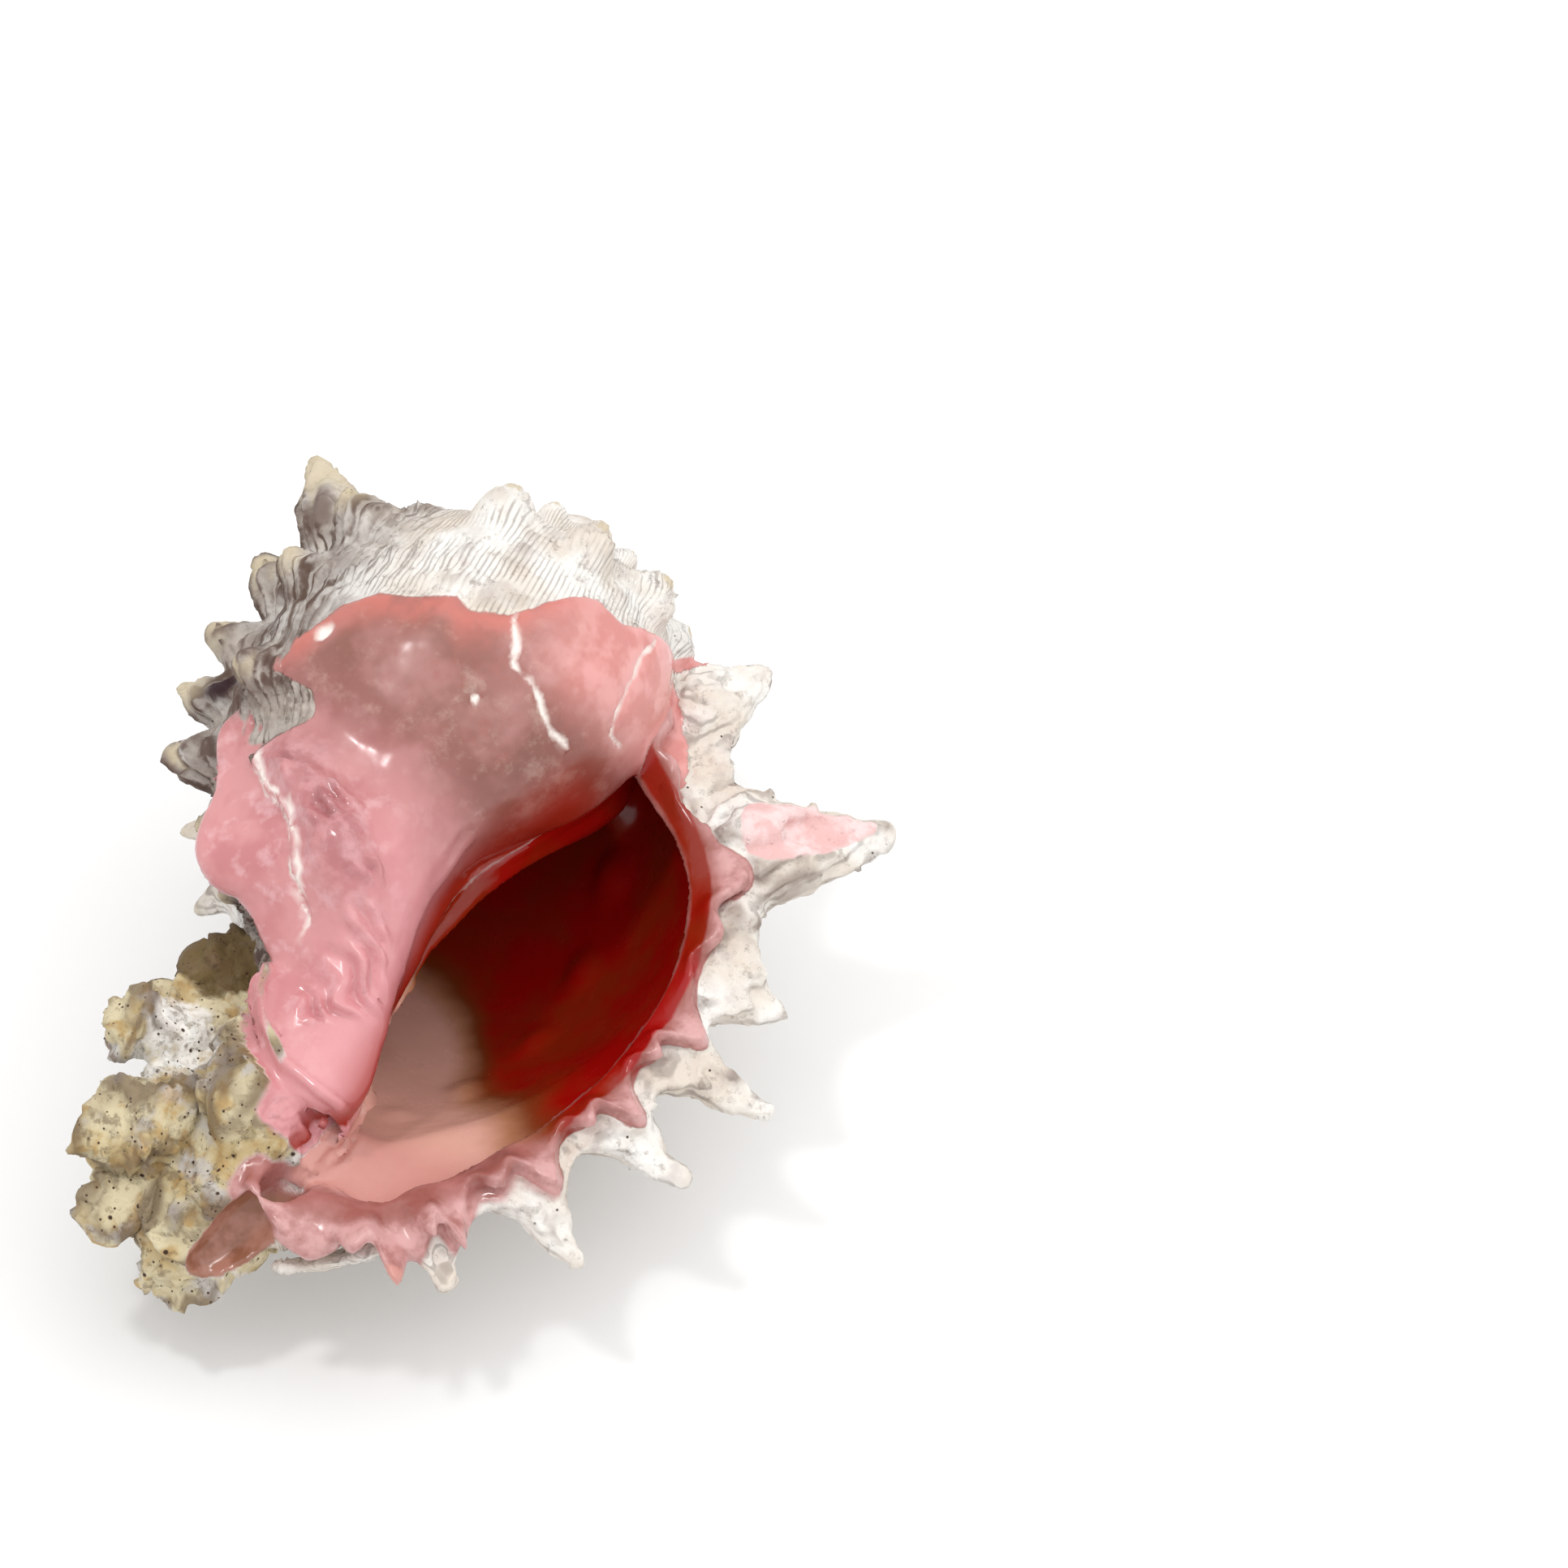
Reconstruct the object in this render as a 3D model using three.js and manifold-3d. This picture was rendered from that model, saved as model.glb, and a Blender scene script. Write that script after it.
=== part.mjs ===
// A pink-mouthed murex shell, one piece, lying on its back with its mouth turned up and forward.
import * as THREE from "three";
import { LoftGeometry } from "three/addons/geometries/LoftGeometry.js";
import { mergeVertices } from "three/addons/utils/BufferGeometryUtils.js";
import Module from "manifold-3d";

const wasm = await Module();
wasm.setup();

// ---- driving dimensions, in millimetres and degrees ----
// The shell is modelled upright: its axis is z with the tip of the spire at 0 and the canal below,
// x points to the lip and y to the back. A growth angle of 0 is at +x and the lip is the last of it.
const EXPANSION = 1.9; // how much a whorl grows in one turn
const TURNS = 3.6; // whorls from the tip of the spire to the lip
const LIP = 12; // growth angle of the lip
const FLARE = 22; // degrees before the lip over which the wall turns outward
const HOLLOW_START = -290;
const CORE_RADIUS = 1; // whorls stop this far from the axis, where the pillar fills in
const RIB_HEIGHT = 2.4; // ribs are old lips: the wall rises slowly to each and drops behind it
const RIB_RISE = 20;
const RIB_FALL = 7;
const SPINE_BEND = 0.08; // how far a spine's tip bends towards the spire, as a share of its length
const GLAZE = 1.2; // thickness of the callus laid over the wall inside the mouth
const FRILL = 2.6; // depth of the scallops in the rim between its spines
const MARGIN_WIDTH = 2.4; // how far the margin of the outer lip reaches outward
const MARGIN_DEPTH = 4;
const MARGIN_THICK = 1.5;
const MARGIN_WAVE = 2.2; // depth of its scallops
const MARGIN_INSET = 0.6; // how far its inner edge stands inside the mouth
const MARGIN_LIFT = 0.45; // how far its free edge stands in front of the lip, as a share of its depth
const FOLD = 0.9; // how far the folds of the margin rise and sink
const RIPPLES = [[0.8, 1, 0], [0.5, 2, 1], [0.35, 3, 0]]; // waves along it: height, number to a spine, shift
// The margin widens into a skirt by the canal. Places along the margin, from the spire side to the canal:
const SKIRT_START = 0.62;
const SKIRT_FULL = 0.82;
const SKIRT_FADE = 0.86;
const SKIRT_REACH = 2.3; // width of the skirt and rise of its folds, as shares of those of the margin
const MARGIN_START = 0.12; // the margin's ends, as places along the outline
const MARGIN_STOP = 0.99;
const SHIELD_BULGE = [3, 7]; // how far the shield stands forward at its spire end and lower down
const SHIELD_BACK = 2.5; // the shield is this much thicker by the pillar
const SHIELD_THICK = 1.5;
const AXIS_TURN = -122; // the resting pose: axis laid back, then leaned sideways, then rolled up again
const SIDE_LEAN = -26;
const BACK_LEAN = 48;

const TURN = 360;
const rad = THREE.MathUtils.degToRad;
const mix = THREE.MathUtils.lerp;
const smooth = THREE.MathUtils.smoothstep;
const v3 = (x, y, z) => new THREE.Vector3(x, y, z);
const FRONT = v3(0, -1, 0); // the side that the mouth faces

// Outlines in a half-plane through the axis, at the size they have at growth angle 0. Each pair is
// the distance from the axis and the height.
const OUTLINE = [
  [12, -15.8], [20, -19.3], [26, -23.5], [30.5, -30], [33.5, -38], [35, -48], [34.2, -58], [31, -67],
  [26, -75.5], [20.5, -83], [15.5, -89.5], [11, -96],
];
const RIM = [
  [12, -12.5], [19, -14.5], [26, -17.5], [30, -24], [36.5, -32], [40.5, -42], [41.5, -52], [40.5, -62],
  [38, -70], [34, -78.5], [29, -86], [22, -93.5], [12, -98], [6, -98],
];
const HOLLOW = [
  [20.5, -22.5], [25, -26.5], [28.5, -33], [30.7, -41], [31.8, -49.5], [30.9, -58], [27.6, -66.5],
  [22.8, -74.5], [17.5, -80.5], [12.5, -85], [8.5, -85], [7, -78], [6.2, -66], [7.2, -54],
  [11.5, -45.5], [16.6, -39.5], [19.5, -33], [19.3, -27],
];
const MOUTH = [
  [16, -26.5], [20.5, -31], [27, -36.5], [31.5, -43], [33.6, -51], [33.6, -59], [32.2, -67], [29.6, -74],
  [26, -80.5], [21.5, -86.5], [16.5, -91.5], [10, -94.5], [5, -94], [6.5, -88], [7.5, -78], [6, -64],
  [8, -52], [13, -42.5], [16.5, -36],
];
// Where the margin of the outer lip runs: down the outer side of the mouth and on to the canal
const LIP_EDGE = [...MOUTH.slice(0, 10), [18.8, -89.5], [15.4, -92], [9.5, -93.6], [2.5, -92.6]];
// The border of the callus: its place along the outline at each growth angle, and its angle at each place
const CALLUS_TOP = [
  [-350, 0.28], [-318, 0.33], [-300, 0.385], [-289, 0.37], [-281, 0.4], [-268, 0.48], [-258, 0.495],
  [-252, 0.475], [-240, 0.49], [-230, 0.485], [-222, 0.5], [-213, 0.55],
];
const CALLUS_SIDE = [
  [0.48, -209], [0.52, -207], [0.55, -211], [0.6, -209], [0.64, -219], [0.68, -221], [0.71, -206],
  [0.8, -196],
];
const CALLUS_START = -366; // growth angle at which the callus comes out of the mouth

// Spines, each as place along the outline, length, tilt towards the spire and width.
const NEXT_ROW = [
  [0.2, 12, 0.5, 5.5], [0.33, 8, 0.15, 4.5], [0.46, 6.3, 0, 4], [0.58, 4.2, 0, 3.6], [0.71, 3.6, -0.1, 3.4],
  [0.83, 3.5, -0.2, 3],
];
const BACK_ROW = [
  [0.2, 15, 0.4, 6], [0.33, 16.4, 0.1, 5], [0.46, 11, 0, 4.5], [0.58, 8.8, 0, 4], [0.71, 5, -0.1, 3.6],
  [0.83, 3.5, -0.2, 3],
];
const SIDE_ROW = [
  [0.23, 20, 0.22, 8], [0.35, 9, 0.1, 6.5], [0.45, 7, 0.1, 6.2], [0.53, 7.5, 0.1, 5.6], [0.62, 7, 0, 5.2],
  [0.72, 4, -0.1, 4.4], [0.83, 3, -0.2, 3.4],
];
const FRONT_ROW = [[0.3, 6, 0.1, 6.6], [0.43, 5, 0, 5.5], [0.59, 5, 0, 5]];
const LIP_ROW = [
  [0.13, 5, 0.1, 4.6], [0.315, 11.5, 0, 6.5], [0.465, 4.5, 0, 3.6], [0.55, 8.5, 0, 3.4], [0.645, 7.5, 0, 3.2],
  [0.75, 9, 0, 3.4], [0.84, 5, -0.1, 3.4], [0.94, 1.6, -0.4, 3.6],
];
const RIBS = [
  { at: -40, row: NEXT_ROW },
  { at: -98, row: BACK_ROW },
  { at: -140, row: BACK_ROW },
  { at: -170, row: SIDE_ROW },
  { at: -203, row: FRONT_ROW },
];
// Knobs on the shoulder of the older whorls
const KNOB = [0.22, 3.4, 0.3, 8];
const KNOB_START = -247;
const KNOB_END = -760;
const KNOB_GAP = 33;
// The pillar inside the whorls, as radius and height
const PILLAR = [
  [0, -90], [5.5, -88], [7, -77], [6.2, -65], [6.2, -45], [5, -20], [2.4, -5], [1.6, -2.4], [0, -1.4],
];
// The free edge of the shield and the line where it meets the pillar, from the spire side down
const EDGE = [
  [-21, -10, -46], [-24, -8, -51], [-21.8, -9, -58], [-19.5, -9, -66], [-16.7, -8, -68.2],
  [-13, -8, -68.9], [-9, -7, -71.6], [-6.6, -6, -73.6], [-8.2, -6, -75.5], [-8.2, -6, -77.6],
  [-6, -6, -81.5], [-1.2, -7, -85.8], [4.3, -7, -87.5], [7.6, -6, -88],
];
const INNER = [[6, -9, -46], [5, -9, -57], [6.3, -7, -70], [8.2, -6, -78], [9, -6, -83], [8.5, -5, -88]];
// Horns that taper through points: the canal, the trough cut in it, the ends of older canals left of it
// and the flat blade under the lip beside it
const CANAL = {
  points: [[3, 0, -80], [1.5, 3, -90], [0, 6, -98.5], [-3.2, 11, -105.5]],
  radii: [7, 7.6, 7.2, 5.2, 2],
};
const TROUGH = {
  points: [[9, -6, -88], [6.4, -2.5, -93.2], [4.4, 0, -98], [2.4, 3, -102], [-1.5, 6.5, -106]],
  radii: [2.6, 1.6, 2.4, 3.2, 2],
};
const OLD_CANALS = [
  { points: [[1, 4, -78], [-7, 5, -88], [-14, 1.5, -97]], radii: [5, 7, 6, 3] },
  { points: [[0, 5, -84], [-6, 7, -94], [-10.5, 6, -101.5]], radii: [5, 7, 6, 3] },
  { points: [[0, 4, -72], [-9, 5, -79.5], [-17, 2, -84.5]], radii: [5, 6.5, 5.5, 3.2] },
  { points: [[0, 4, -66], [-7, 5, -70], [-12.5, 3, -73]], radii: [5, 6, 4.5, 2.6] },
];
const BLADE = { points: [[18, 1.5, -94], [13, 2.2, -98.5], [8.8, 2.4, -101.6]], radii: [2.4, 2.2, 1] };
const CANAL_FLAT = 0.85; // how thin each horn is from front to back
const OLD_CANAL_FLAT = 0.7;
const BLADE_FLAT = 0.45;
const SPINE_FLAT = 0.72;
const SPINE_ROOT = 2.5; // how deep a spine is set into the wall
const SPINE_BLUNT = 0.22; // width of a spine's tip as a share of its width at the foot

function scaleAt(angle) {
  return EXPANSION ** (angle / TURN);
}
function onWhorl(angle, r, z) {
  const s = scaleAt(angle);
  return v3(s * r * Math.cos(rad(angle)), -s * r * Math.sin(rad(angle)), s * z);
}
function spline(pairs, closed) {
  return new THREE.CatmullRomCurve3(pairs.map(([r, z]) => v3(r, 0, z)), closed, "centripetal");
}
const outline = spline(OUTLINE, false);
const rim = spline(RIM, false);
const hollow = spline(HOLLOW, true);
const mouth = spline(MOUTH, true);
const lipEdge = spline(LIP_EDGE, false);
const HEART = v3(12, 0, -52); // swellings push away from here

// How far a rib lifts the wall at a growth angle.
function rib(angle) {
  const lifts = RIBS.map(({ at }) =>
    smooth(angle, at - RIB_RISE, at) * (1 - smooth(angle, at + 1, at + RIB_FALL)));
  return Math.max(...lifts) * RIB_HEIGHT;
}
// Reads a value between the pairs of a table, which holds its ends beyond them.
function between(table, x) {
  const next = table.findIndex(([key]) => key > x);
  if (next === 0) return table[0][1];
  if (next < 0) return table.at(-1)[1];
  const [low, from] = table[next - 1];
  const [high, to] = table[next];
  return mix(from, to, (x - low) / (high - low));
}
// Where the callus covers the wall, from 0 to 1: left of the mouth, below a line under the shoulder.
function glazed(angle, u) {
  const top = between(CALLUS_TOP, angle);
  const side = between(CALLUS_SIDE, u);
  const covered = smooth(u, top - 0.02, top + 0.02) * (1 - smooth(angle, side - 4, side + 4));
  return covered * smooth(angle, CALLUS_START, CALLUS_START + 6);
}
// Counts the spines of the lip along the rim: a whole number at each spine.
function beat(u) {
  const places = LIP_ROW.map(([place]) => place);
  const next = places.findIndex((place) => place > u);
  if (next < 1) return 0;
  return next - 1 + (u - places[next - 1]) / (places[next] - places[next - 1]);
}
function outer(angle, u) {
  const p = outline.getPoint(u);
  const away = p.clone().sub(HEART).normalize();
  p.addScaledVector(away, rib(angle) + GLAZE * glazed(angle, u));
  const opening = smooth(angle, LIP - FLARE, LIP);
  const frill = FRILL * 0.5 * (Math.cos(Math.PI * 2 * beat(u)) - 1);
  return p.lerp(rim.getPoint(u).addScaledVector(away, frill), opening);
}

function solid(geometry) {
  const bare = new THREE.BufferGeometry();
  bare.setAttribute("position", geometry.getAttribute("position"));
  bare.setIndex(geometry.getIndex());
  const merged = mergeVertices(bare, 1e-4);
  const made = new wasm.Manifold(new wasm.Mesh({
    numProp: 3,
    vertProperties: merged.attributes.position.array,
    triVerts: new Uint32Array(merged.index.array),
  }));
  if (made.volume() < 0) throw new Error("inside out");
  return made;
}
// Newell's normal of a closed section, as long as twice its area.
function sectionNormal(section) {
  const normal = v3(0, 0, 0);
  section.forEach((p, i) => normal.add(p.clone().cross(section[(i + 1) % section.length])));
  return normal;
}
function middle(section) {
  return section.reduce((sum, p) => sum.add(p), v3(0, 0, 0)).divideScalar(section.length);
}
function loft(sections) {
  const forward = middle(sections[1]).sub(middle(sections[0]));
  const turned = sectionNormal(sections[0]).dot(forward) < 0;
  const wound = turned ? sections.map((s) => [...s].reverse()) : sections;
  return solid(new LoftGeometry(wound, { capStart: true, capEnd: true }));
}
function steps(from, to, step) {
  const count = Math.ceil((to - from) / step);
  return Array.from({ length: count + 1 }, (_, i) => mix(from, to, i / count));
}

function whorlSolid({ from, to, step, along }) {
  return loft(steps(from, to, step).map((angle) => {
    const section = [];
    for (let j = 0; j <= along; j++) {
      const p = outer(angle, j / along);
      section.push(onWhorl(angle, p.x, p.z));
    }
    const s = scaleAt(angle);
    section.push(onWhorl(angle, CORE_RADIUS / s, section.at(-1).z / s));
    section.push(onWhorl(angle, CORE_RADIUS / s, section[0].z / s));
    return section;
  }));
}
function hollowSolid(from, to, step, around) {
  return loft(steps(from, to, step).map((angle) => {
    const opening = smooth(angle, LIP - FLARE, LIP);
    const section = [];
    for (let j = 0; j < around; j++) {
      const p = hollow.getPoint(j / around).lerp(mouth.getPoint(j / around), opening);
      section.push(onWhorl(angle, p.x, p.z));
    }
    return section;
  }));
}

// A tapering horn through points, with an oval section: radii across and along the side direction.
function horn(points, radii, side, flat, sides) {
  const curve = new THREE.CatmullRomCurve3(points, false, "centripetal");
  const count = radii.length - 1;
  return loft(radii.map((radius, i) => {
    const centre = curve.getPointAt(i / count);
    const along = curve.getTangentAt(i / count);
    const a = side.clone().addScaledVector(along, -side.dot(along)).normalize();
    const b = along.clone().cross(a);
    const section = [];
    for (let j = 0; j < sides; j++) {
      const t = (TURN * j) / sides;
      section.push(centre.clone().addScaledVector(a, radius * Math.cos(rad(t)) * flat)
        .addScaledVector(b, radius * Math.sin(rad(t))));
    }
    return section;
  }));
}
// A spine on the wall at a growth angle, square to the wall but tilted towards the spire.
function spine(angle, [u, length, tilt, width], sides) {
  const here = outer(angle, u);
  const ahead = outer(angle, u + 0.01);
  const behind = outer(angle, u - 0.01);
  const out = v3(-(ahead.z - behind.z), 0, ahead.x - behind.x).normalize();
  const aim = out.clone().add(v3(0, 0, tilt)).normalize();
  const s = scaleAt(angle);
  const at = (lift, bend) => onWhorl(angle, here.x + aim.x * lift, here.z + aim.z * lift + bend);
  const growth = v3(-Math.sin(rad(angle)), -Math.cos(rad(angle)), 0);
  const points = [at(-SPINE_ROOT, 0), at(length * 0.45, 0), at(length, length * SPINE_BEND)];
  return horn(points, [width * s, width * s * 0.76, width * s * SPINE_BLUNT], growth, SPINE_FLAT, sides);
}

// The crenulated margin of the outer lip: a thin sheet that flares out of the mouth, widest by the canal.
function marginSolid(count, across) {
  const forward = v3(-Math.sin(rad(LIP)), -Math.cos(rad(LIP)), 0);
  return loft(steps(0, 1, 1 / count).map((t) => {
    const p = lipEdge.getPoint(t);
    const ahead = lipEdge.getTangent(t);
    const outward = v3(-ahead.z, 0, ahead.x);
    const skirt = smooth(t, SKIRT_START, SKIRT_FULL) * (1 - smooth(t, SKIRT_FADE, 1));
    const width = MARGIN_WIDTH * mix(1, SKIRT_REACH, skirt) * (1 - 0.3 * smooth(t, 0.95, 1));
    const turn = Math.PI * 2 * beat(mix(MARGIN_START, MARGIN_STOP, t));
    const ripple = RIPPLES.reduce((sum, [high, many, shift]) => {
      return sum + high * Math.cos(many * turn + shift);
    }, 0);
    const calm = 1 - 0.75 * smooth(t, SKIRT_FADE - 0.02, 0.93);
    const depth = MARGIN_WAVE * mix(0.7, 1, smooth(t, 0, 0.5)) * calm;
    const fold = FOLD * mix(1, SKIRT_REACH, skirt) * Math.sin(turn);
    const section = [];
    for (const way of [1, -1]) {
      for (let j = 0; j <= across; j++) {
        const u = (way > 0 ? j : across - j) / across;
        const out = mix(-MARGIN_INSET, width, u) + depth * ripple * u ** 1.5;
        const rise = MARGIN_DEPTH * mix(-0.05, MARGIN_LIFT, Math.sin((u * Math.PI) / 2)) + fold * u;
        const q = p.clone().addScaledVector(outward, out);
        section.push(onWhorl(LIP, q.x, q.z).addScaledVector(forward, rise + (way * MARGIN_THICK) / 2));
      }
    }
    return section;
  }));
}
// The shield: a sheet from the pillar to its free edge that bulges to the front.
function shieldSolid(count, across) {
  const curve = (points) => new THREE.CatmullRomCurve3(points.map((p) => v3(...p)), false, "centripetal");
  const edge = curve(EDGE);
  const inner = curve(INNER);
  return loft(steps(0, 1, 1 / count).map((t) => {
    const a = inner.getPoint(t);
    const b = edge.getPoint(t);
    const bulge = mix(...SHIELD_BULGE, smooth(t, 0, 0.2)) * mix(1, 0.2, smooth(t, 0.1, 0.7));
    const section = [];
    for (const back of [0, 1]) {
      for (let j = 0; j <= across; j++) {
        const w = (back ? across - j : j) / across;
        const p = a.clone().lerp(b, w).addScaledVector(FRONT, bulge * Math.sin(Math.PI * 1.15 * w ** 0.75));
        section.push(p.addScaledVector(FRONT, -back * SHIELD_THICK * mix(SHIELD_BACK, 1, w)));
      }
    }
    return section;
  }));
}
function hornOf({ points, radii }, flat, sides) {
  return horn(points.map((p) => v3(...p)), radii, FRONT, flat, sides);
}
function pillarSolid() {
  const profile = PILLAR.map(([r, z]) => new THREE.Vector2(r, z));
  return solid(new THREE.LatheGeometry(profile, 12).rotateX(Math.PI / 2));
}

// The last whorls are hollow, and the older ones are filled.
const OPEN_WHORLS = [
  { from: -12, to: LIP, step: 6, along: 34 },
  { from: -150, to: -11, step: 10, along: 15 },
  { from: -300, to: -140, step: 10, along: 13 },
];
const FILLED_WHORLS = [
  { from: -450, to: -290, step: 16, along: 9 },
  { from: -610, to: -440, step: 17, along: 8 },
  { from: -770, to: -600, step: 20, along: 6 },
  { from: -TURNS * TURN, to: -760, step: 30, along: 4 },
];
const joined = (pieces) => pieces.reduce((sum, piece) => sum.add(piece));
const hollowed = joined(OPEN_WHORLS.map(whorlSolid)).subtract(hollowSolid(HOLLOW_START, LIP + 1, 16, 18));
const added = [...FILLED_WHORLS.map(whorlSolid), pillarSolid(), marginSolid(35, 3), shieldSolid(17, 5)];
for (const { at, row } of RIBS) {
  for (const place of row) {
    added.push(spine(at, place, 5));
  }
}
for (let at = KNOB_START; at > KNOB_END; at -= KNOB_GAP) {
  added.push(spine(at, KNOB, 5));
}
for (const place of LIP_ROW) {
  added.push(spine(LIP - 3, place, 5));
}
for (const old of OLD_CANALS) {
  added.push(hornOf(old, OLD_CANAL_FLAT, 8));
}
added.push(hornOf(CANAL, CANAL_FLAT, 10));
added.push(hornOf(BLADE, BLADE_FLAT, 6));
const shell = joined([hollowed, ...added]).subtract(hornOf(TROUGH, 1, 6));

// A cut can leave a loose crumb beside the shell, which is dropped.
const [whole] = shell.decompose().sort((a, b) => b.volume() - a.volume());

function meshOf(made) {
  const { numProp, vertProperties, triVerts } = made.getMesh();
  const position = new Float32Array((vertProperties.length / numProp) * 3);
  for (let i = 0; i < position.length / 3; i++) {
    position.set(vertProperties.subarray(i * numProp, i * numProp + 3), i * 3);
  }
  const geometry = new THREE.BufferGeometry();
  geometry.setAttribute("position", new THREE.BufferAttribute(position, 3));
  geometry.setIndex(new THREE.BufferAttribute(triVerts, 1));
  return geometry;
}

const geometry = meshOf(whole);
geometry.rotateX(rad(AXIS_TURN)).rotateZ(rad(SIDE_LEAN)).rotateX(rad(BACK_LEAN));
geometry.computeBoundingBox();
const { min, max } = geometry.boundingBox;
const mesh = new THREE.Mesh(geometry, new THREE.MeshStandardMaterial({ color: 0xe8cfc4, roughness: 0.55 }));
mesh.position.set(-(min.x + max.x) / 2, -(min.y + max.y) / 2, -min.z);
mesh.name = "shell";

const part = new THREE.Group();
part.add(mesh);
export default part;
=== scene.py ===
"""A pink-mouthed murex shell lying on its back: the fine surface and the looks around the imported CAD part.

The shell is worked out in its growth frame, in millimetres: the tip of the spire at 0, the axis along z
with the canal below, x towards the lip and y towards the back. Each part of it is a distance field on one
grid of voxels. The fields are blended into one body, and the mesh of that body gets its fine relief.
"""

import itertools
import math

import bpy
import numpy as np
import openvdb as vdb
from mathutils import Matrix, Vector


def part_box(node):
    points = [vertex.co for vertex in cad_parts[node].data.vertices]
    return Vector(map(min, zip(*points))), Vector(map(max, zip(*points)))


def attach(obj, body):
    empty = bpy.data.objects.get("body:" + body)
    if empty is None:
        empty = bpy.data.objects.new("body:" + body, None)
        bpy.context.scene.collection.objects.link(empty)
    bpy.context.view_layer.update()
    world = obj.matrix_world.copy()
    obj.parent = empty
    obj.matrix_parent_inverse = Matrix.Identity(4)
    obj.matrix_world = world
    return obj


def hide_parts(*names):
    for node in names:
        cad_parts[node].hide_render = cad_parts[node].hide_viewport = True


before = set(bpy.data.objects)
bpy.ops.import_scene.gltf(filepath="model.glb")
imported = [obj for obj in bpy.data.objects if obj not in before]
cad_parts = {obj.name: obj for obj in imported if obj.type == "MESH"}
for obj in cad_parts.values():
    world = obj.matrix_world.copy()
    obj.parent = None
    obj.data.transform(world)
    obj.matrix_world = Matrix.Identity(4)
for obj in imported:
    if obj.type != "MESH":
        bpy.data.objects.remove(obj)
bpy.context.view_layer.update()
MM = 0.001

# ---- driving dimensions, in millimetres and degrees, as in the CAD part ----
EXPANSION = 1.9  # how much a whorl grows in one turn
TURNS = 3.6
LIP = 12  # growth angle of the lip
FLARE = 22
HOLLOW_START = -290
CORE_RADIUS = 1.0
RIB_HEIGHT = 2.4
RIB_RISE = 20
RIB_FALL = 7
GLAZE = 1.2
FRILL = 2.6
MARGIN_WIDTH = 2.4
MARGIN_DEPTH = 4.0
MARGIN_THICK = 1.5
MARGIN_INSET = 0.6
MARGIN_LIFT = 0.45
MARGIN_WAVE = 2.2
MARGIN_ENDS = (0.12, 0.99)
FOLD = 0.9
SKIRT_START = 0.62
SKIRT_FULL = 0.82
SKIRT_FADE = 0.86
SKIRT_REACH = 2.3
RIPPLES = [(0.8, 1, 0), (0.5, 2, 1), (0.35, 3, 0)]  # height, number to a spine, shift
SHIELD_BULGE = (3, 7)
SHIELD_THICK = 1.5
SHIELD_BACK = 2.5
SPINE_BEND = 0.08
SPINE_ROOT = 2.5
SPINE_FLAT = 0.72
TRENCHED = 7  # spines longer than this have a trench down their front
AXIS_TURN = -122
SIDE_LEAN = -26
BACK_LEAN = 48
FRONT = np.array([0.0, -1.0, 0.0])  # the side that the mouth faces

VOXEL = 0.42
BAND = 3.0  # distances further than this from a surface are cut off
LOW = np.array([-52.0, -46.0, -112.0])
HIGH = np.array([56.0, 50.0, 6.0])
CORNER = np.floor(LOW / VOXEL).astype(int)
SHAPE = tuple(np.ceil((HIGH - LOW) / VOXEL).astype(int))
TRIANGLES = 196000
LINES_A_RADIAN = 200.0  # growth lines of the colour
RELIEF_ONLY = ("angle", "place", "glaze", "gloss")  # looks that the material does not read

# Outlines in a half-plane through the axis, at the size they have at growth angle 0
OUTLINE = [
    (12, -15.8), (20, -19.3), (26, -23.5), (30.5, -30), (33.5, -38), (35, -48), (34.2, -58), (31, -67),
    (26, -75.5), (20.5, -83), (15.5, -89.5), (11, -96),
]
RIM = [
    (12, -12.5), (19, -14.5), (26, -17.5), (30, -24), (36.5, -32), (40.5, -42), (41.5, -52), (40.5, -62),
    (38, -70), (34, -78.5), (29, -86), (22, -93.5), (12, -98), (6, -98),
]
HOLLOW = [
    (20.5, -22.5), (25, -26.5), (28.5, -33), (30.7, -41), (31.8, -49.5), (30.9, -58), (27.6, -66.5),
    (22.8, -74.5), (17.5, -80.5), (12.5, -85), (8.5, -85), (7, -78), (6.2, -66), (7.2, -54),
    (11.5, -45.5), (16.6, -39.5), (19.5, -33), (19.3, -27),
]
MOUTH = [
    (16, -26.5), (20.5, -31), (27, -36.5), (31.5, -43), (33.6, -51), (33.6, -59), (32.2, -67), (29.6, -74),
    (26, -80.5), (21.5, -86.5), (16.5, -91.5), (10, -94.5), (5, -94), (6.5, -88), (7.5, -78), (6, -64),
    (8, -52), (13, -42.5), (16.5, -36),
]
# The border of the callus: its place along the outline at each growth angle, and its angle at each place
CALLUS_TOP = [
    (-350, 0.28), (-318, 0.33), (-300, 0.385), (-289, 0.37), (-281, 0.4), (-268, 0.48), (-258, 0.495),
    (-252, 0.475), (-240, 0.49), (-230, 0.485), (-222, 0.5), (-213, 0.55),
]
CALLUS_SIDE = [
    (0.48, -209), (0.52, -207), (0.55, -211), (0.6, -209), (0.64, -219), (0.68, -221), (0.71, -206),
    (0.8, -196),
]
CALLUS_START = -366
# Where the margin of the outer lip runs
LIP_EDGE = MOUTH[:10] + [(18.8, -89.5), (15.4, -92), (9.5, -93.6), (2.5, -92.6)]
HEART = np.array([12.0, -52.0])

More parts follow.
